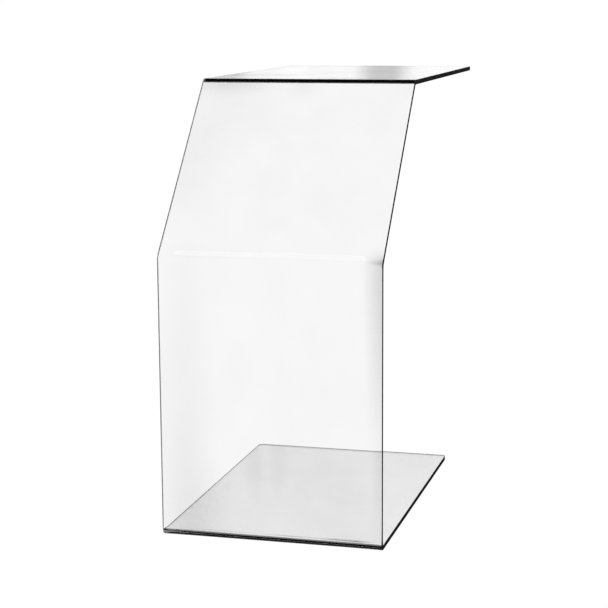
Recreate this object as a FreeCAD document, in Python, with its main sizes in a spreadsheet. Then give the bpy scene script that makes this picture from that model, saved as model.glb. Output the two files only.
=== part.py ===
"""Presentation lectern: one clear acrylic sheet, line-bent three times, on six bumper feet.

Frame: +Z up, the floor at Z = 0, the audience on the -Y side, the speaker on the +Y side.
The origin is on the floor, under the middle of the overall width and depth. Left is -X.
"""

import FreeCAD, Part
import math
import os

import Sketcher
from FreeCAD import Vector

OUT_DIR = "parts"
os.makedirs(OUT_DIR, exist_ok=True)

# Driving dimensions, in millimetres and degrees.
DIMENSIONS = {
    "SheetWidth": 550.0,
    "SheetHeight": 1095.0,
    "SheetThickness": 12.0,
    "BaseLength": 850.0,  # from the front face of the upright to the back end of the base
    "ShelfReach": 1210.0,  # from the front face of the upright to the free end of the shelf
    "LeanBendHeight": 684.0,  # axis of the bend between upright and upper panel
    "LeanAngle": 43.0,  # the upper panel, from the vertical
    "InsideRadius": 7.0,  # of all three line bends
    "CornerRadius": 10.0,  # of the four free corners
    "Arris": 0.6,  # chamfer that takes the sharpness off every cut edge
    "BumperDiameter": 12.7,
    "BumperHeight": 3.3,
    "BumperRounding": 3.0,  # of the lower rim, which leaves a flat that stands on the floor
    "AdhesiveDiameter": 11.5,
    "AdhesiveThickness": 0.2,
    "FootInset": 32.0,  # of a bumper's axis from the side edges and from the back end
    "FrontFootSetback": 52.0,  # of a front bumper's axis, clear of the curved bottom bend
}

# Dimensions that follow from the driving ones.
DERIVED = {
    "OutsideRadius": "=InsideRadius + SheetThickness",
    "UpperPanelSlope": "=90 - LeanAngle",
    "FootHeight": "=BumperHeight + AdhesiveThickness",
    "BackFootSetback": "=BaseLength - FootInset",
    "MiddleFootSetback": "=(FrontFootSetback + BackFootSetback) / 2",
    "FootSide": "=SheetWidth / 2 - FootInset",
    "MiddleOfDepth": "=ShelfReach / 2",
}

START, END, CENTRE = 1, 2, 3  # the sketcher's numbers for the points of a line or an arc
ACROSS_AXIS, UP_AXIS = -1, -2  # the sketcher's numbers for a sketch's own two axes
SNAP = 1e-4  # how closely two positions agree when edges are picked by place

doc = FreeCAD.newDocument("Lectern")
sheet = doc.addObject("Spreadsheet::Sheet", "Dimensions")


def fill_dimensions():
    """Give every dimension its own row: its name, and its value with that name as alias."""
    for row, (alias, value) in enumerate([*DIMENSIONS.items(), *DERIVED.items()], start=1):
        sheet.set(f"A{row}", alias)
        sheet.set(f"B{row}", str(value))
        sheet.setAlias(f"B{row}", alias)
    doc.recompute()


def size(alias):
    """The current value of a dimension."""
    return float(sheet.get(alias))


def new_sketch(body, name, plane):
    """A sketch lying on one of the body's own datum planes, found by its role."""
    sketch = body.newObject("Sketcher::SketchObject", name)
    support = next(item for item in body.Origin.OriginFeatures if item.Role == plane)
    sketch.AttachmentSupport = [(support, "")]
    sketch.MapMode = "FlatFace"
    return sketch


def relate(sketch, kind, *where):
    """Add a geometric constraint."""
    sketch.addConstraint(Sketcher.Constraint(kind, *where))


def drive(sketch, kind, *where, alias, factor=""):
    """Add a dimensional constraint whose value is read from the spreadsheet."""
    value = math.radians(size(alias)) if kind == "Angle" else size(alias)
    index = sketch.addConstraint(Sketcher.Constraint(kind, *where, value))
    sketch.setExpression(f"Constraints[{index}]", f"Dimensions.{alias}{factor}")


def solve(sketch):
    """Recompute a sketch, and stop unless its constraints agree and leave nothing free."""
    doc.recompute()
    if sketch.solve() != 0 or not sketch.FullyConstrained:
        raise RuntimeError(f"{sketch.Name} is not fully constrained")


def on_circle(centre, radius, degrees):
    """The point of a circle at an angle counted from the sketch's first axis."""
    angle = math.radians(degrees)
    return centre + Vector(radius * math.cos(angle), radius * math.sin(angle), 0)


def add_line(sketch, start, end):
    return sketch.addGeometry(Part.LineSegment(start, end))


def add_arc(sketch, centre, radius, first, last):
    """A counter-clockwise arc between two angles in degrees."""
    circle = Part.Circle(centre, Vector(0, 0, 1), radius)
    return sketch.addGeometry(Part.ArcOfCircle(circle, math.radians(first), math.radians(last)))


def bend_centres():
    """Where the axes of the bottom, lean and shelf bends cross the side view."""
    outside = size("OutsideRadius")
    rise = size("SheetHeight") - outside - size("LeanBendHeight")
    bottom = Vector(outside, outside, 0)
    lean = Vector(outside, size("LeanBendHeight"), 0)
    shelf = lean + Vector(rise * math.tan(math.radians(size("LeanAngle"))), rise, 0)
    return bottom, lean, shelf


def add_face_outline(sketch, radius, offset):
    """One face of the bent sheet in side view: four straights joined by three tangent arcs.

    offset is how far this face lies inside the outer one.
    Returns the straights from base to shelf and the arcs between them.
    """
    bottom, lean, shelf = bend_centres()
    tilt = 180 - size("LeanAngle")
    base_end = Vector(size("BaseLength"), offset, 0)
    shelf_end = Vector(size("ShelfReach"), size("SheetHeight") - offset, 0)
    straights = [
        add_line(sketch, base_end, on_circle(bottom, radius, 270)),
        add_line(sketch, on_circle(bottom, radius, 180), on_circle(lean, radius, 180)),
        add_line(sketch, on_circle(lean, radius, tilt), on_circle(shelf, radius, tilt)),
        add_line(sketch, on_circle(shelf, radius, 90), shelf_end),
    ]
    arcs = [
        add_arc(sketch, bottom, radius, 180, 270),
        add_arc(sketch, lean, radius, tilt, 180),
        add_arc(sketch, shelf, radius, 90, tilt),
    ]
    for before, bend, after in zip(straights, arcs, straights[1:]):
        relate(sketch, "Tangent", before, END, bend, END)
        relate(sketch, "Tangent", bend, START, after, START)
    relate(sketch, "Horizontal", straights[0])
    relate(sketch, "Horizontal", straights[3])
    return straights, arcs


def draw_side_view(sketch):
    """The closed side outline of the sheet: its outer face, its inner face and two free ends."""
    thickness = size("SheetThickness")
    outer, outer_arcs = add_face_outline(sketch, size("OutsideRadius"), 0)
    inner, inner_arcs = add_face_outline(sketch, size("InsideRadius"), thickness)
    base_end = Vector(size("BaseLength"), 0, 0)
    shelf_end = Vector(size("ShelfReach"), size("SheetHeight"), 0)
    through = Vector(0, thickness, 0)
    back_end = add_line(sketch, base_end, base_end + through)
    free_end = add_line(sketch, shelf_end, shelf_end - through)

    relate(sketch, "Coincident", back_end, START, outer[0], START)
    relate(sketch, "Coincident", back_end, END, inner[0], START)
    relate(sketch, "Coincident", free_end, START, outer[3], END)
    relate(sketch, "Coincident", free_end, END, inner[3], END)
    for outer_arc, inner_arc in zip(outer_arcs, inner_arcs):
        relate(sketch, "Coincident", outer_arc, CENTRE, inner_arc, CENTRE)
        drive(sketch, "Radius", outer_arc, alias="OutsideRadius")
        drive(sketch, "Radius", inner_arc, alias="InsideRadius")
    relate(sketch, "Vertical", back_end)
    relate(sketch, "Vertical", free_end)
    relate(sketch, "Vertical", outer[1])
    relate(sketch, "PointOnObject", outer[0], START, ACROSS_AXIS)
    relate(sketch, "PointOnObject", outer[1], START, UP_AXIS)

    origin = (ACROSS_AXIS, START)
    drive(sketch, "DistanceX", *origin, outer[0], START, alias="BaseLength")
    drive(sketch, "DistanceX", *origin, outer[3], END, alias="ShelfReach")
    drive(sketch, "DistanceY", *origin, outer[3], END, alias="SheetHeight")
    drive(sketch, "DistanceY", *origin, outer_arcs[1], CENTRE, alias="LeanBendHeight")
    drive(sketch, "Angle", outer[2], alias="UpperPanelSlope", factor=" * 1 deg")
    solve(sketch)


def edge_names(shape, wanted):
    """The names of the edges of a shape that a test picks."""
    return [f"Edge{i}" for i, edge in enumerate(shape.Edges, start=1) if wanted(edge)]


def is_through_edge(edge):
    """True for a short upright edge that runs through the thickness of a level part."""
    box = edge.BoundBox
    upright = box.XLength < SNAP and box.YLength < SNAP
    return upright and abs(box.ZLength - size("SheetThickness")) < SNAP


def is_cut_edge(edge):
    """True round the outline of the sheet, and False for the lines where bends begin and end.

    Those lines run across the full width. The lines where a rounded corner begins and ends run
    through the thickness.
    """
    across_full_width = edge.BoundBox.XLength > size("SheetWidth") - SNAP
    return not across_full_width and not is_through_edge(edge)


def make_bent_sheet():
    """The acrylic sheet: side view padded to the width, free corners rounded, edges eased."""
    body = doc.addObject("PartDesign::Body", "BentSheet")
    body.Label = "bent_sheet"
    side_view = new_sketch(body, "SheetSideView", "YZ_Plane")
    draw_side_view(side_view)

    pad = body.newObject("PartDesign::Pad", "SheetPad")
    pad.Profile = side_view
    pad.Midplane = True
    pad.setExpression("Length", "Dimensions.SheetWidth")
    doc.recompute()

    corners = body.newObject("PartDesign::Fillet", "FreeCorners")
    corners.Base = (pad, edge_names(pad.Shape, is_through_edge))
    corners.setExpression("Radius", "Dimensions.CornerRadius")
    doc.recompute()

    arris = body.newObject("PartDesign::Chamfer", "EasedEdges")
    arris.Base = (corners, edge_names(corners.Shape, is_cut_edge))
    arris.setExpression("Size", "Dimensions.Arris")

    body.setExpression("Placement.Base.y", "-Dimensions.MiddleOfDepth")
    body.setExpression("Placement.Base.z", "Dimensions.FootHeight")
    return body


def place_under_sheet(item, side, setback):
    """Put a foot's part under the base: side is -1 or 1, setback the alias of its distance back."""
    item.setExpression("Placement.Base.x", f"{side} * Dimensions.FootSide")
    item.setExpression("Placement.Base.y", f"Dimensions.{setback} - Dimensions.MiddleOfDepth")


def make_bumper(place, side, setback):
    """A clear bumper foot: a low disc whose lower rim is rounded to a small flat."""
    body = doc.addObject("PartDesign::Body", "Bumper")
    body.Label = f"bumper_{place}"
    circle = new_sketch(body, "BumperOutline", "XY_Plane")
    radius = size("BumperDiameter") / 2
    outline = circle.addGeometry(Part.Circle(Vector(0, 0, 0), Vector(0, 0, 1), radius))
    relate(circle, "Coincident", outline, CENTRE, ACROSS_AXIS, START)
    drive(circle, "Diameter", outline, alias="BumperDiameter")
    solve(circle)

    pad = body.newObject("PartDesign::Pad", "BumperPad")
    pad.Profile = circle
    pad.setExpression("Length", "Dimensions.BumperHeight")
    doc.recompute()

    rim = body.newObject("PartDesign::Fillet", "BumperRim")
    rim.Base = (pad, edge_names(pad.Shape, lambda edge: edge.BoundBox.ZMax < SNAP))
    rim.setExpression("Radius", "Dimensions.BumperRounding")
    place_under_sheet(body, side, setback)
    return body


def make_adhesive(place, side, setback):
    """The thin disc of clear adhesive that holds a bumper to the underside of the base."""
    disc = doc.addObject("Part::Cylinder", "Adhesive")
    disc.Label = f"adhesive_{place}"
    disc.setExpression("Radius", "Dimensions.AdhesiveDiameter / 2")
    disc.setExpression("Height", "Dimensions.AdhesiveThickness")
    disc.setExpression("Placement.Base.z", "Dimensions.BumperHeight")
    place_under_sheet(disc, side, setback)
    return disc


def make_feet():
    """Six feet: a pair near the front, a pair near the back and a pair half way between them."""
    setbacks = {"front": "FrontFootSetback", "middle": "MiddleFootSetback", "back": "BackFootSetback"}
    feet = []
    for row, setback in setbacks.items():
        for hand, side in (("left", -1), ("right", 1)):
            feet.append(make_bumper(f"{row}_{hand}", side, setback))
            feet.append(make_adhesive(f"{row}_{hand}", side, setback))
    return feet


def check_document():
    """Stop if any object of the document failed to compute."""
    for item in doc.Objects:
        if "Invalid" in item.State or "Error" in item.State:
            raise RuntimeError(f"{item.Name} failed: {item.State}")


def export(piece):
    """Write one piece to its own file, in the lectern's frame, if its shape is a sound solid."""
    shape = piece.Shape
    if shape.isNull() or not shape.isValid() or len(shape.Solids) != 1:
        raise RuntimeError(f"{piece.Label} is not one valid solid")
    shape.exportStep(os.path.join(OUT_DIR, f"{piece.Label}.step"))
    print(f"{piece.Label}: {shape.Volume:.0f} mm3")


fill_dimensions()
pieces = [make_bent_sheet(), *make_feet()]
doc.recompute()
check_document()
for piece in pieces:
    export(piece)
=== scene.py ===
"""Looks of the presentation lectern: one clear acrylic sheet, line-bent three times, on bumper feet."""

import math

import bpy
from mathutils import Matrix, Vector


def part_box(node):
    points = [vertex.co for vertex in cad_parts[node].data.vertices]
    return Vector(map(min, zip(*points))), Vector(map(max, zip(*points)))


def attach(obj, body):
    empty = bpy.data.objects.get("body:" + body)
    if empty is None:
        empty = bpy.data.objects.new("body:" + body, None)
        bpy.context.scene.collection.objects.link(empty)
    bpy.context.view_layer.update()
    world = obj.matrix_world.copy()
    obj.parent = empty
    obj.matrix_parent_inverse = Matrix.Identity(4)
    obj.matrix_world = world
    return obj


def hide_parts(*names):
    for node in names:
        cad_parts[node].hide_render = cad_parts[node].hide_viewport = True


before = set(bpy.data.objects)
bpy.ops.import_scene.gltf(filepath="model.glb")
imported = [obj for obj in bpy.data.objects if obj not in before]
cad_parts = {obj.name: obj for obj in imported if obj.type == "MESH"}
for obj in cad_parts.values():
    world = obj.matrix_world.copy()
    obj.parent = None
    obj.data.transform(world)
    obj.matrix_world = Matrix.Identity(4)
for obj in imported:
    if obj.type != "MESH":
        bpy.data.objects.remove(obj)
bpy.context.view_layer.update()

# Every size is in metres. The CAD node gives the sheet's outside sizes, and these are the rest.
THICKNESS = 0.012
INSIDE_RADIUS = 0.007
BASE_LENGTH = 0.850
LEAN_BEND_HEIGHT = 0.684
LEAN = math.radians(43)
CORNER_RADIUS = 0.010
ARRIS = 0.0006

OUTSIDE_RADIUS = INSIDE_RADIUS + THICKNESS
MIDDLE_RADIUS = INSIDE_RADIUS + THICKNESS / 2
SHEET_LOW, SHEET_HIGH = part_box("bent_sheet")
HALF_WIDTH = (SHEET_HIGH.x - SHEET_LOW.x) / 2
PLACES = [f"{depth}_{side}" for depth in ("front", "middle", "back") for side in ("left", "right")]


# ------------------------------------------------------------------ node helpers


def add_node(tree, kind, values=None, **settings):
    """A shader node with its settings, and its inputs set to numbers or linked to sockets."""
    node = tree.nodes.new(kind)
    for name, value in settings.items():
        setattr(node, name, value)
    for name, value in (values or {}).items():
        if isinstance(value, bpy.types.NodeSocket):
            tree.links.new(value, node.inputs[name])
        else:
            node.inputs[name].default_value = value
    return node


def math_node(tree, operation, *values):
    """The value of a Math node. Each value is a number or a socket."""
    return add_node(tree, "ShaderNodeMath", dict(enumerate(values)), operation=operation).outputs[0]


def remap(tree, value, start, end, to_start, to_end):
    """value taken smoothly from the range start..end to to_start..to_end, and held at both ends."""
    values = {"Value": value, "From Min": start, "From Max": end, "To Min": to_start, "To Max": to_end}
    node = add_node(tree, "ShaderNodeMapRange", values, interpolation_type="SMOOTHSTEP")
    return node.outputs["Result"]


def noise(tree, place, scale, detail=3.0, stretch=(1, 1, 1)):
    """A soft noise between 0 and 1, of so many features to the metre, longer where stretch is small."""
    mapping = add_node(tree, "ShaderNodeMapping", {"Vector": place, "Scale": stretch})
    values = {"Vector": mapping.outputs[0], "Scale": scale, "Detail": detail}
    return add_node(tree, "ShaderNodeTexNoise", values).outputs["Fac"]


def new_material(name):
    """A material with its tree, its Principled shader and the piece's own coordinates."""
    material = bpy.data.materials.new(name)
    material.use_nodes = True
    tree = material.node_tree
    shader = tree.nodes["Principled BSDF"]
    place = add_node(tree, "ShaderNodeTexCoord").outputs["Object"]
    return material, tree, shader, place


def tinted(tree, value, tint):
    """The colour of that grey value times the tint."""
    channels = [math_node(tree, "MULTIPLY", value, part) for part in tint]
    return add_node(tree, "ShaderNodeCombineColor", dict(enumerate(channels))).outputs[0]


# ---------------------------------------------------------------- the bent sheet


def travel(distance, length, turn, y, z, heading):
    """(y, z, heading) after a distance along a run of that length and turn."""
    turned = turn * distance / length
    chord = distance * (math.sin(turned / 2) / (turned / 2) if turned else 1.0)
    chord_heading = heading - turned / 2
    return (
        y + chord * math.cos(chord_heading),
        z + chord * math.sin(chord_heading),
        heading - turned,
    )


def sheet_runs():
    """The sheet's middle line, from the back end of the base to the free end of the shelf.

    Each run is (start along the sheet, length, turn, y, z, heading), and an arc if its turn isn't 0.
    Headings are angles in the side view, from +Y towards +Z, and every bend turns clockwise.
    """
    rise = SHEET_HIGH.z - SHEET_LOW.z - OUTSIDE_RADIUS - LEAN_BEND_HEIGHT
    shelf_bend = OUTSIDE_RADIUS + rise * math.tan(LEAN)
    stretches = (
        (BASE_LENGTH - OUTSIDE_RADIUS, 0.0),
        (MIDDLE_RADIUS * math.pi / 2, math.pi / 2),
        (LEAN_BEND_HEIGHT - OUTSIDE_RADIUS, 0.0),
        (MIDDLE_RADIUS * LEAN, LEAN),
        (rise / math.cos(LEAN), 0.0),
        (MIDDLE_RADIUS * (math.pi / 2 - LEAN), math.pi / 2 - LEAN),
        (SHEET_HIGH.y - SHEET_LOW.y - shelf_bend, 0.0),
    )
    runs = []
    along, y, z, heading = 0.0, SHEET_LOW.y + BASE_LENGTH, SHEET_LOW.z + THICKNESS / 2, math.pi
    for length, turn in stretches:
        runs.append((along, length, turn, y, z, heading))
        y, z, heading = travel(length, length, turn, y, z, heading)
        along += length
    return runs


RUNS = sheet_runs()
SHEET_LENGTH = RUNS[-1][0] + RUNS[-1][1]

EDGE_CURL = 0.0007  # how far a 90 degree bend's ends lift, and over what distance
CURL_REACH = 0.022
EDGE_FLARE = 0.0007  # how far its inner side swells out past the cut edge, and over what distance
FLARE_REACH = 0.007
BEND_FALLOFF = 1.5  # how quickly a bend's swelling fades along the sheet
RIPPLE = 0.00002  # slow unevenness of the heated sheet
# Its waves: radians to the metre along and across the sheet, phase, and share of the height.
RIPPLE_WAVES = ((19, 7, 0.6, 1.0), (11, -23, 2.1, 1.0), (37, 13, 4.0, 0.5))


def bend_share(along):
    """1 in the middle of a 90 degree bend, less in a gentler one, falling to 0 beside it."""
    share = 0.0
    for start, length, turn, *_ in RUNS:
        if turn:
            away = (along - start - length / 2) / length
            share += turn / (math.pi / 2) * math.exp(-away * away * BEND_FALLOFF)
    return share


def sheet_point(along, across, edge_gap, depth):
    """Where a point of the flat sheet goes. depth is from the middle line, outwards at the bends."""
    start, length, turn, y, z, heading = [run for run in RUNS if run[0] <= along + 1e-9][-1]
    y, z, heading = travel(along - start, length, turn, y, z, heading)
    share = bend_share(along)
    side = math.copysign(1.0, across)
    flare = EDGE_FLARE * share * math.exp(-edge_gap / FLARE_REACH) * -2 * depth / THICKNESS
    curl = EDGE_CURL * share * math.exp(-edge_gap / CURL_REACH)
    ripple = RIPPLE * sum(
        height * math.sin(per_along * along + per_across * across + phase)
        for per_along, per_across, phase, height in RIPPLE_WAVES
    )
    out = depth + curl + ripple
    return Vector((across + side * flare, y - math.sin(heading) * out, z + math.cos(heading) * out))


CORNER_STEPS, BEND_STEPS, ARRIS_STEPS, COLUMNS = 12, 36, 4, 44
PANEL_STEP = 0.02
RIM_SHARES = (0.96, 0.5, 0.0, -0.5, -0.96)  # where the cut edge's flat has its rings


def sheet_rows():
    """Rows across the sheet as (middle, back): back is the corner's cosine, and 0 away from the ends."""
    corner = [math.cos(math.pi / 2 * i / CORNER_STEPS) for i in range(CORNER_STEPS)]
    rows = [(CORNER_RADIUS, -c) for c in corner]
    for start, length, turn, *_ in RUNS:
        first = max(start, CORNER_RADIUS)
        last = min(start + length, SHEET_LENGTH - CORNER_RADIUS)
        steps = BEND_STEPS if turn else math.ceil((last - first) / PANEL_STEP)
        for i in range(steps):
            share = i / steps
            if not turn:  # closer rows towards both ends, where the bends begin
                share = (1 - math.cos(math.pi * share)) / 2
            rows.append((first + (last - first) * share, 0.0))
    rows.append((SHEET_LENGTH - CORNER_RADIUS, 0.0))
    return rows + [(SHEET_LENGTH - CORNER_RADIUS, c) for c in reversed(corner)]


def rim_rings():
    """The rim's section as (inset, depth), from the outer face round both arrises to the inner face."""
    half = THICKNESS / 2
    angles = [math.pi / 2 * i / ARRIS_STEPS for i in range(ARRIS_STEPS + 1)]
    outer = [(ARRIS * (1 - math.sin(a)), half - ARRIS * (1 - math.cos(a))) for a in angles]
    flat = [(0.0, (half - ARRIS) * share) for share in RIM_SHARES]
    return outer + flat + [(inset, -depth) for inset, depth in reversed(outer)]


def rim_place(row, column, inset, depth):
    """A point of the sheet on a row and column, for an outline that is inset by so much."""
    middle, back = row
    radius = CORNER_RADIUS - inset
    half = HALF_WIDTH - CORNER_RADIUS + radius * math.sqrt(1 - back * back)
    share = math.sin(math.pi * (column / COLUMNS - 0.5))
    along = middle + radius * back
    return sheet_point(along, half * share, HALF_WIDTH - half * abs(share), depth)


def make_mesh_object(name, vertices, faces, materials, face_materials=None):
    """A smooth-shaded mesh object with its materials."""
    mesh = bpy.data.meshes.new(name)
    mesh.from_pydata(vertices, [], faces)
    for material in materials:
        mesh.materials.append(material)
    if face_materials:
        mesh.polygons.foreach_set("material_index", face_materials)
    mesh.shade_smooth()
    mesh.validate()
    mesh.update()
    piece = bpy.data.objects.new(name, mesh)
    bpy.context.scene.collection.objects.link(piece)
    return piece


def make_sheet(face_material, edge_material):
    """The whole sheet: two broad faces as grids, joined round the outline by the rim's rings."""
    rows, rings = sheet_rows(), rim_rings()
    last_row = len(rows) - 1
    vertices, faces, face_materials = [], [], []

    def add_face_grid(depth, flip):
        first = len(vertices)
        for row in rows:
            vertices.extend(rim_place(row, c, ARRIS, depth) for c in range(COLUMNS + 1))
        grid = [[first + r * (COLUMNS + 1) + c for c in range(COLUMNS + 1)] for r in range(last_row + 1)]
        for r in range(last_row):
            for c in range(COLUMNS):
                quad = [grid[r][c], grid[r][c + 1], grid[r + 1][c + 1], grid[r + 1][c]]
                faces.append(quad[::-1] if flip else quad)
                face_materials.append(0)
        return grid

    outer = add_face_grid(THICKNESS / 2, flip=False)
    inner = add_face_grid(-THICKNESS / 2, flip=True)
    outline = [(0, c) for c in range(COLUMNS)]
    outline += [(r, COLUMNS) for r in range(last_row)]
    outline += [(last_row, c) for c in range(COLUMNS, 0, -1)]
    outline += [(r, 0) for r in range(last_row, 0, -1)]
    loops = [[outer[r][c] for r, c in outline]]
    for inset, depth in rings[1:-1]:
        loops.append(list(range(len(vertices), len(vertices) + len(outline))))
        vertices.extend(rim_place(rows[r], c, inset, depth) for r, c in outline)
    loops.append([inner[r][c] for r, c in outline])
    for near, far in zip(loops, loops[1:]):
        for i in range(len(outline)):
            j = (i + 1) % len(outline)
            faces.append([near[i], far[i], far[j], near[j]])
            face_materials.append(1)
    return make_mesh_object(
        "clear_sheet", vertices, faces, [face_material, edge_material], face_materials
    )


# ------------------------------------------------------- bumpers and their discs


def lathe(name, centre, profile, material, steps=64):
    """A closed round piece: profile is (radius, height) pairs, from its axis below to its axis above."""
    vertices, faces = [], []
    for radius, height in profile[1:-1]:
        for i in range(steps):
            angle = 2 * math.pi * i / steps
            step = Vector((math.cos(angle), math.sin(angle), 0)) * radius
            vertices.append(Vector((centre.x, centre.y, height)) + step)
    rings = len(profile) - 2
    for ring in range(rings - 1):
        for i in range(steps):
            j = (i + 1) % steps
            low, high = ring * steps, (ring + 1) * steps
            faces.append([low + i, low + j, high + j, high + i])
    for height, ring, flip in ((profile[0][1], 0, True), (profile[-1][1], rings - 1, False)):
        vertices.append(Vector((centre.x, centre.y, height)))
        for i in range(steps):
            pair = [ring * steps + i, ring * steps + (i + 1) % steps]
            faces.append((pair[::-1] if flip else pair) + [len(vertices) - 1])
    return make_mesh_object(name, vertices, faces, [material])


def arc(radius_centre, height_centre, size, start, end, steps=10):
    """Points of an arc in a profile, with its angles in degrees from straight out."""
    points = []
    for i in range(steps + 1):
        angle = math.radians(start + (end - start) * i / steps)
        points.append(
            (radius_centre + size * math.cos(angle), height_centre + size * math.sin(angle))
        )
    return points


def bumper_profile(low, high):
    """A moulded bumper: a barely hollow foot, a full rounding, and a lip where it left the mould."""
    radius, rounding, lip = (high.x - low.x) / 2, 0.0030, 0.00012
    foot, hollow = radius - rounding, 0.00003
    profile = [(0.0, low.z + hollow), (foot * 0.5, low.z + hollow * 2 / 3)]
    profile += arc(foot, low.z + rounding, rounding, -90, 0, 16)
    profile += arc(radius - lip, high.z - lip, lip, 0, 90, 5)
    return profile + [(radius * 0.6, high.z), (0.0, high.z)]


def disc_profile(low, high):
    """A thin film of adhesive with a rounded rim, just clear of what it joins."""
    gap = 0.00001
    radius, half = (high.x - low.x) / 2, (high.z - low.z) / 2 - gap
    middle = (high.z + low.z) / 2
    rim = arc(radius - half, middle, half, -90, 90, 8)
    return [(0.0, middle - half), (radius * 0.6, middle - half), *rim,
            (radius * 0.6, middle + half), (0.0, middle + half)]


# -------------------------------------------------------------------- materials

ACRYLIC_INDEX = 1.49
CUT_EDGE_INDEX = 1.25  # low, so that the near black edge mirrors little
SOFT_INDEX = 1.02  # nearly that of air, so that the bumpers and discs stay out of sight
NEUTRAL = (1.0, 1.0, 1.0)

# Painted shade in the sheet's colour, in place of dark bands that reflection and refraction give:
# centre, reach along each axis, and the light kept. First those down the two sides of the upright,
# then the shelf bend, then the leaning panel, and last a thin painted dark line on the base beside the
# front bend.
PAINTED_SHADE_PATCHES = (
    ((0.279, -0.599, 0.70), (0.062, 0.03, 0.67), 0.71),
    ((0.272, -0.599, 0.6955), (0.045, 0.06, 0.0075), 0.72),
    ((0.274, -0.599, 0.696), (0.012, 0.03, 0.016), 0.80),
    ((-0.210, -0.599, 0.30), (0.095, 0.06, 0.62), 0.935),
    ((-0.200, -0.599, 0.00), (0.14, 0.06, 0.35), 0.91),
    ((-0.205, -0.236, 1.092), (0.17, 0.055, 0.055), 0.83),
    ((-0.010, -0.235, 1.085), (0.07, 0.06, 0.06), 0.93),
    ((-0.200, -0.280, 1.04), (0.17, 0.20, 0.22), 0.95),
    ((-0.255, -0.430, 0.88), (0.13, 0.26, 0.28), 0.955),
    ((0.208, -0.574, 0.0155), (0.056, 0.017, 0.012), 0.04),
    ((0.160, -0.573, 0.0155), (0.070, 0.015, 0.012), 0.04),
    ((0.050, -0.572, 0.0155), (0.110, 0.011, 0.012), 0.35),
    ((-0.120, -0.571, 0.0155), (0.130, 0.010, 0.012), 0.65),
)


def painted_shade(tree, place):
    """The painted shade at each place of the sheet, as the light kept: 1 where none is painted."""
    kept = 1.0
    for centre, reach, light in PAINTED_SHADE_PATCHES:
        shift = add_node(tree, "ShaderNodeVectorMath", {0: place, 1: centre}, operation="SUBTRACT")
        share = add_node(
            tree, "ShaderNodeVectorMath", {0: shift.outputs[0], 1: reach}, operation="DIVIDE"
        )
        length = add_node(tree, "ShaderNodeVectorMath", {0: share.outputs[0]}, operation="LENGTH")
        patch = remap(tree, length.outputs["Value"], 0.0, 1.0, light, 1.0)
        kept = math_node(tree, "MULTIPLY", kept, patch)
    return kept


def make_clear_acrylic():
    """Clear cast acrylic: faintly uneven tint and gloss, patches of painted shade, hairline scratches and
    a slow surface wave.
    """
    material, tree, shader, place = new_material("clear_acrylic_face")
    mottle = remap(tree, noise(tree, place, 7.0, 5.0), 0.3, 0.7, 0.980, 1.0)
    smears = remap(tree, noise(tree, place, 22.0, 4.0, (0.6, 1, 0.35)), 0.3, 0.7, 0.985, 1.0)
    light = math_node(tree, "MULTIPLY", mottle, smears)
    # Painted shade: darker patches in the colour, standing in for dark reflections and refractions.
    light = math_node(tree, "MULTIPLY", light, painted_shade(tree, place))
    tree.links.new(tinted(tree, light, NEUTRAL), shader.inputs["Base Color"])
    wiped = remap(tree, noise(tree, place, 9.0, 5.0, (1, 0.25, 0.25)), 0.55, 0.8, 0.0, 0.02)
    scratches = remap(tree, noise(tree, place, 260.0, 2.0, (1, 0.02, 0.02)), 0.72, 0.78, 0.0, 0.02)
    tree.links.new(math_node(tree, "ADD", wiped, scratches), shader.inputs["Roughness"])
    wave = noise(tree, place, 7.0, 1.0)
    bump = add_node(tree, "ShaderNodeBump", {"Height": wave, "Strength": 0.05, "Distance": 0.002})
    tree.links.new(bump.outputs[0], shader.inputs["Normal"])
    shader.inputs["Transmission Weight"].default_value = 1.0
    shader.inputs["IOR"].default_value = ACRYLIC_INDEX
    return material


# Painted light: how much lighter a cut edge is painted where it is seen from inside the sheet.
FAR_EDGE_PAINTED_LIGHT = 1.0  # what a cut edge seen through the sheet is lightened by


def make_cut_edge():
    """A polished cut edge, painted near black as shade for the dark look of light running off inside the
    sheet, and painted lighter where seen from inside.
    """
    material, tree, shader, place = new_material("clear_acrylic_cut_edge")
    streaks = noise(tree, place, 420.0, 2.0, (0.25, 1.0, 0.03))
    # Painted shade: the edge's colour is near black, with a little random unevenness.
    shade = remap(tree, noise(tree, place, 14.0, 3.0), 0.3, 0.7, 0.003, 0.010)
    shade = math_node(tree, "MULTIPLY", shade, remap(tree, streaks, 0.3, 0.7, 0.8, 1.2))
    from_inside = add_node(tree, "ShaderNodeNewGeometry").outputs["Backfacing"]
    depth = add_node(tree, "ShaderNodeLightPath").outputs["Glossy Depth"]
    # Painted light on the cut edge where it is seen from inside, straight through the sheet.
    seen_far = math_node(tree, "MULTIPLY", from_inside, math_node(tree, "LESS_THAN", depth, 0.5))
    shade = math_node(tree, "ADD", shade, math_node(tree, "MULTIPLY", seen_far, FAR_EDGE_PAINTED_LIGHT))
    tree.links.new(tinted(tree, shade, NEUTRAL), shader.inputs["Base Color"])
    tree.links.new(remap(tree, streaks, 0.4, 0.75, 0.08, 0.2), shader.inputs["Roughness"])
    bump = add_node(tree, "ShaderNodeBump", {"Height": streaks, "Strength": 0.15, "Distance": 0.0002})
    tree.links.new(bump.outputs[0], shader.inputs["Normal"])
    shader.inputs["IOR"].default_value = CUT_EDGE_INDEX
    return material


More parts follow.
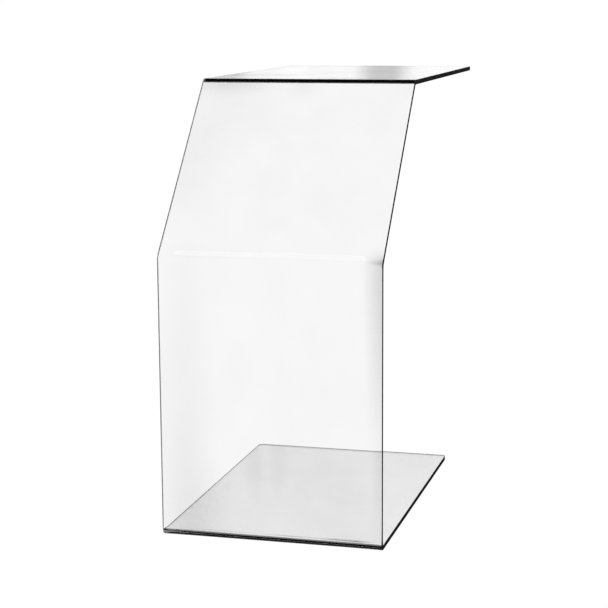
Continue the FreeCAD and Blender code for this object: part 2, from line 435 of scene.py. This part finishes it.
def make_bumper_rubber():
    """Clear soft polyurethane: a little milky, with a fine moulded skin."""
    material, tree, shader, place = new_material("clear_bumper_rubber")
    cloud = remap(tree, noise(tree, place, 400.0, 3.0), 0.3, 0.7, 0.97, 1.0)
    tree.links.new(tinted(tree, cloud, (0.99, 1.0, 1.0)), shader.inputs["Base Color"])
    skin = noise(tree, place, 2500.0, 3.0)
    tree.links.new(remap(tree, skin, 0.3, 0.7, 0.05, 0.18), shader.inputs["Roughness"])
    bump = add_node(tree, "ShaderNodeBump", {"Height": skin, "Strength": 0.08, "Distance": 0.0001})
    tree.links.new(bump.outputs[0], shader.inputs["Normal"])
    shader.inputs["Transmission Weight"].default_value = 1.0
    shader.inputs["IOR"].default_value = SOFT_INDEX
    return material


def make_adhesive():
    """A clear pressure-sensitive film, with tiny trapped bubbles."""
    material, tree, shader, place = new_material("clear_adhesive")
    cells = add_node(tree, "ShaderNodeTexVoronoi", {"Vector": place, "Scale": 900.0})
    bubbles = remap(tree, cells.outputs["Distance"], 0.08, 0.2, 0.8, 0.985)
    tree.links.new(tinted(tree, bubbles, (1.0, 1.0, 0.98)), shader.inputs["Base Color"])
    tree.links.new(remap(tree, bubbles, 0.8, 0.985, 0.3, 0.02), shader.inputs["Roughness"])
    shader.inputs["Transmission Weight"].default_value = 1.0
    shader.inputs["IOR"].default_value = SOFT_INDEX
    return material


# --------------------------------------------------------------- floor and light

FLOOR_RADIUS, FLOOR_SIDES = 60.0, 96
FLOOR_DROP = 0.0005  # how far it lies below the bumpers
FLOOR_IN_REFLECTIONS = 0.02  # its light where the sheet mirrors it
FLOOR_UNDER_BASE = 0.22  # the same under the base
SHADE_FADE = 0.01  # over what distance the one turns into the other
WHITE = 1.02  # the light of floor and surround seen directly


def first_look(tree, seen, reflected):
    """seen for light that reaches the eye with no reflection, and reflected for the rest."""
    depth = add_node(tree, "ShaderNodeLightPath").outputs["Glossy Depth"]
    is_reflected = math_node(tree, "GREATER_THAN", depth, 0.5)
    mix = add_node(
        tree, "ShaderNodeMix", {"Factor": is_reflected, "A": seen, "B": reflected}, data_type="FLOAT"
    )
    return mix.outputs["Result"]


def make_floor():
    """A plain pale floor, lit evenly, that runs out past what any view shows."""
    vertices = [(0.0, 0.0, 0.0)]
    for i in range(FLOOR_SIDES):
        angle = 2 * math.pi * i / FLOOR_SIDES
        vertices.append((FLOOR_RADIUS * math.cos(angle), FLOOR_RADIUS * math.sin(angle), 0.0))
    faces = [[0, 1 + i, 1 + (i + 1) % FLOOR_SIDES] for i in range(FLOOR_SIDES)]
    material = bpy.data.materials.new("pale_floor")
    material.use_nodes = True
    tree = material.node_tree
    tree.nodes.remove(tree.nodes["Principled BSDF"])
    spot = add_node(tree, "ShaderNodeNewGeometry").outputs["Position"]
    parts = add_node(tree, "ShaderNodeSeparateXYZ", {0: spot}).outputs
    under = remap(tree, parts["Y"], SHEET_LOW.y, SHEET_LOW.y + SHADE_FADE, 0.0, 1.0)
    aside = math_node(tree, "ABSOLUTE", parts["X"])
    inside = remap(tree, aside, HALF_WIDTH - SHADE_FADE, HALF_WIDTH, 1.0, 0.0)
    under = math_node(tree, "MULTIPLY", under, inside)
    reflected = remap(tree, under, 0.0, 1.0, FLOOR_IN_REFLECTIONS, FLOOR_UNDER_BASE)
    strength = first_look(tree, WHITE, reflected)
    glow = add_node(tree, "ShaderNodeEmission", {"Strength": strength})
    tree.links.new(glow.outputs[0], tree.nodes["Material Output"].inputs["Surface"])
    floor = make_mesh_object("floor", vertices, faces, [material])
    floor.location.z = -FLOOR_DROP


def dim_patch(tree, azimuth, height, centre, reach, kept):
    """A soft dim place in the studio, by heading in degrees from +Y towards +X and sine of its height."""
    offset = math_node(tree, "SUBTRACT", azimuth, math.radians(centre[0]))
    across = math_node(tree, "DIVIDE", offset, math.radians(reach[0]))
    up = math_node(tree, "DIVIDE", math_node(tree, "SUBTRACT", height, centre[1]), reach[1])
    squares = [math_node(tree, "POWER", math_node(tree, "ABSOLUTE", v), 2.0) for v in (across, up)]
    away = math_node(tree, "SQRT", math_node(tree, "ADD", *squares))
    return remap(tree, away, 0.2, 1.0, kept, 1.0)


# Dim things in the studio that the lectern mirrors: (heading, sine of height), reach, light kept.
# The first is the dark band across the shelf, the second a dim place near its left end, and the
# next two are streaks on the base. The last is a dark place in front, which keeps the lean bend
# from drawing a second bright line.
DIM_PATCHES = (
    ((-12.25, 0.040), (1.12, 0.2), 0.62),
    ((-17.45, 0.045), (1.0, 0.012), 0.70),
    ((-16.7, 0.268), (0.42, 0.026), 0.8),
    ((-15.85, 0.268), (0.42, 0.026), 0.8),
    ((-164.0, 0.12), (14.0, 0.5), 0.05),
)


def make_world():
    """A white surround, which reflections see as a studio: bright low down and dark overhead."""
    world = bpy.data.worlds.new("studio")
    bpy.context.scene.world = world
    world.use_nodes = True
    tree = world.node_tree
    direction = add_node(tree, "ShaderNodeTexCoord").outputs["Generated"]
    parts = add_node(tree, "ShaderNodeSeparateXYZ", {0: direction}).outputs
    azimuth = math_node(tree, "ARCTAN2", parts["X"], parts["Y"])
    height = parts["Z"]
    studio = remap(tree, height, 0.06, 0.20, 1.05, 0.5)
    studio = math_node(tree, "MULTIPLY", studio, remap(tree, height, 0.36, 0.62, 1.0, 0.06))
    # A lighter wall on the left, above the lowest part, that fades away towards the front.
    beside = remap(tree, azimuth, math.radians(-12.7), math.radians(-12.3), 0.3, 0.0)
    fade = remap(tree, azimuth, math.radians(-120), math.radians(-60), 0.0, 1.0)
    beside = math_node(tree, "MULTIPLY", beside, fade)
    low_sky = remap(tree, height, 0.20, 0.23, 0.0, 1.0)
    lift = math_node(tree, "MULTIPLY_ADD", low_sky, beside, 1.0)
    studio = math_node(tree, "MULTIPLY", studio, lift)
    for centre, reach, kept in DIM_PATCHES:
        patch = dim_patch(tree, azimuth, height, centre, reach, kept)
        studio = math_node(tree, "MULTIPLY", studio, patch)
    mottle = remap(tree, noise(tree, direction, 14.0, 3.0), 0.3, 0.7, 0.92, 1.08)
    studio = math_node(tree, "MULTIPLY", studio, mottle)
    tree.links.new(first_look(tree, WHITE, studio), tree.nodes["Background"].inputs["Strength"])
    tree.nodes["Background"].inputs["Color"].default_value = (1, 1, 1, 1)


LAMP_LENGTH, LAMP_WIDTH = 1.1, 0.004
LAMP_PLACE = (-0.55, -1.0027, 2.5)
LAMP_POWER = 0.018
LAMP_SKEW = -0.004  # turns the bright line a little out of level


def make_key_light():
    """A long thin lamp in front of the lectern, which draws the bright line along the lean bend."""
    light = bpy.data.lights.new("key_light", "AREA")
    light.shape = "RECTANGLE"
    light.size, light.size_y = LAMP_LENGTH, LAMP_WIDTH
    light.energy = LAMP_POWER
    lamp = bpy.data.objects.new("key_light", light)
    lamp.location = LAMP_PLACE
    forward = SHEET_LOW.y - lamp.location.y
    lamp.rotation_euler.x = math.atan2(forward, lamp.location.z - LEAN_BEND_HEIGHT)
    lamp.rotation_euler.z = LAMP_SKEW
    bpy.context.scene.collection.objects.link(lamp)


CAMERA_PLACE = (1.0983, -4.3917, 1.3041)
CAMERA_ANGLES = (14.946, -10.259, -0.347)  # heading, pitch and roll in degrees
CAMERA_LENS, CAMERA_SENSOR = 100.79, 36.0  # in millimetres


def make_camera():
    """The camera stands in front and to the right, a little above the shelf, looking slightly down."""
    camera = bpy.data.objects.new("camera", bpy.data.cameras.new("camera"))
    camera.data.lens = CAMERA_LENS
    camera.data.sensor_width = CAMERA_SENSOR
    camera.data.clip_end = 1000.0
    heading, pitch, roll = (math.radians(angle) for angle in CAMERA_ANGLES)
    turn = Matrix.Rotation(heading, 4, "Z") @ Matrix.Rotation(math.pi / 2 + pitch, 4, "X")
    place = Matrix.Translation(CAMERA_PLACE)
    camera.matrix_world = place @ turn @ Matrix.Rotation(roll, 4, "Z")
    bpy.context.scene.collection.objects.link(camera)
    bpy.context.scene.camera = camera


def set_render_look():
    """Plain colour, denoised, and enough bounces for light that runs along inside the sheet."""
    scene = bpy.context.scene
    bounces = 16
    scene.view_settings.view_transform = "Standard"
    scene.view_settings.look = "None"
    scene.cycles.use_denoising = True
    scene.cycles.max_bounces = bounces
    scene.cycles.transmission_bounces = bounces
    scene.cycles.glossy_bounces = bounces


# ------------------------------------------------------------------- the lectern

make_camera()
make_floor()
make_world()
make_key_light()
set_render_look()

sheet = make_sheet(make_clear_acrylic(), make_cut_edge())
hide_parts("bent_sheet")
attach(sheet, "root")

bumper_rubber = make_bumper_rubber()
adhesive = make_adhesive()
for spot in PLACES:
    low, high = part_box(f"bumper_{spot}")
    bumper = lathe(f"clear_bumper_{spot}", (low + high) / 2, bumper_profile(low, high), bumper_rubber)
    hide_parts(f"bumper_{spot}")
    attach(bumper, "root")

    low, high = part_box(f"adhesive_{spot}")
    disc = lathe(f"adhesive_film_{spot}", (low + high) / 2, disc_profile(low, high), adhesive)
    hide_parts(f"adhesive_{spot}")
    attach(disc, "root")
